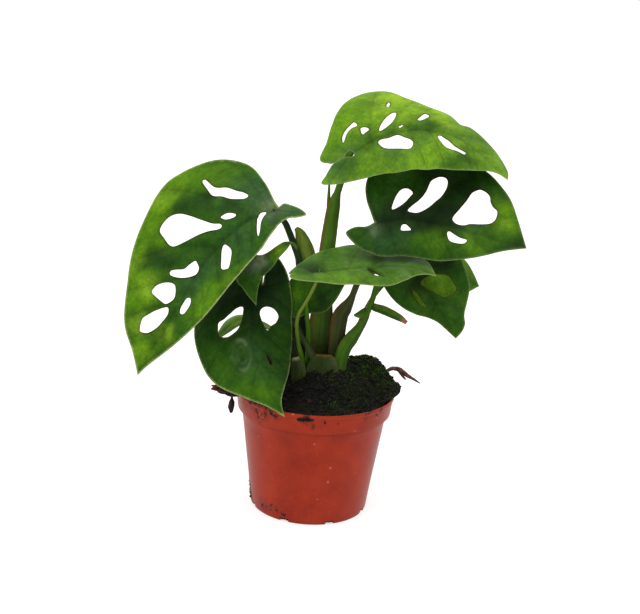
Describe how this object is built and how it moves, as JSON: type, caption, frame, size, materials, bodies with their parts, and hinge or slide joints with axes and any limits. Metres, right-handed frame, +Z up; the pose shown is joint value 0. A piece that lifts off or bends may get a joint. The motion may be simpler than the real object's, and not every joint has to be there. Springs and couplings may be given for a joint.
{
  "type": "potted monstera adansonii",
  "caption": "Young monstera adansonii with pierced oval leaves on sheathed petioles, growing from dark peat in a round tapered plastic nursery pot.",
  "frame": {"origin": "centre of the pot's flat base, on the surface that it stands on", "axes": "+Z up; -Y towards the open side that the leaves face; +X to the right as seen from there"},
  "size_m": [0.2815, 0.1263, 0.3119],
  "materials": {
    "leaf": "satin, leathery",
    "stalk": "satin",
    "dry_sheath": "dry, matte",
    "peat": "crumbly, matte",
    "bark": "rough, matte",
    "terracotta_plastic": "matte, faint sheen"
  },
  "bodies": {
    "root": {"back_left_blade": "leaf", "back_left_petiole": "stalk", "back_right_blade": "leaf", "back_right_petiole": "stalk", "bark_chip": "bark", "cataphyll": "stalk", "folded_blade": "leaf", "folded_petiole": "stalk", "front_blade": "leaf", "front_petiole": "stalk", "furled_leaf": "stalk", "inner_blade": "leaf", "inner_petiole": "stalk", "left_blade": "leaf", "left_petiole": "stalk", "lower_blade": "leaf", "lower_petiole": "stalk", "middle_blade": "leaf", "middle_petiole": "stalk", "old_sheath_front": "dry_sheath", "old_sheath_left": "dry_sheath", "pot": "terracotta_plastic", "right_blade": "leaf", "right_petiole": "stalk", "soil": "peat", "top_blade": "leaf", "top_petiole": "stalk", "twig": "bark"}
  },
  "joints": []
}
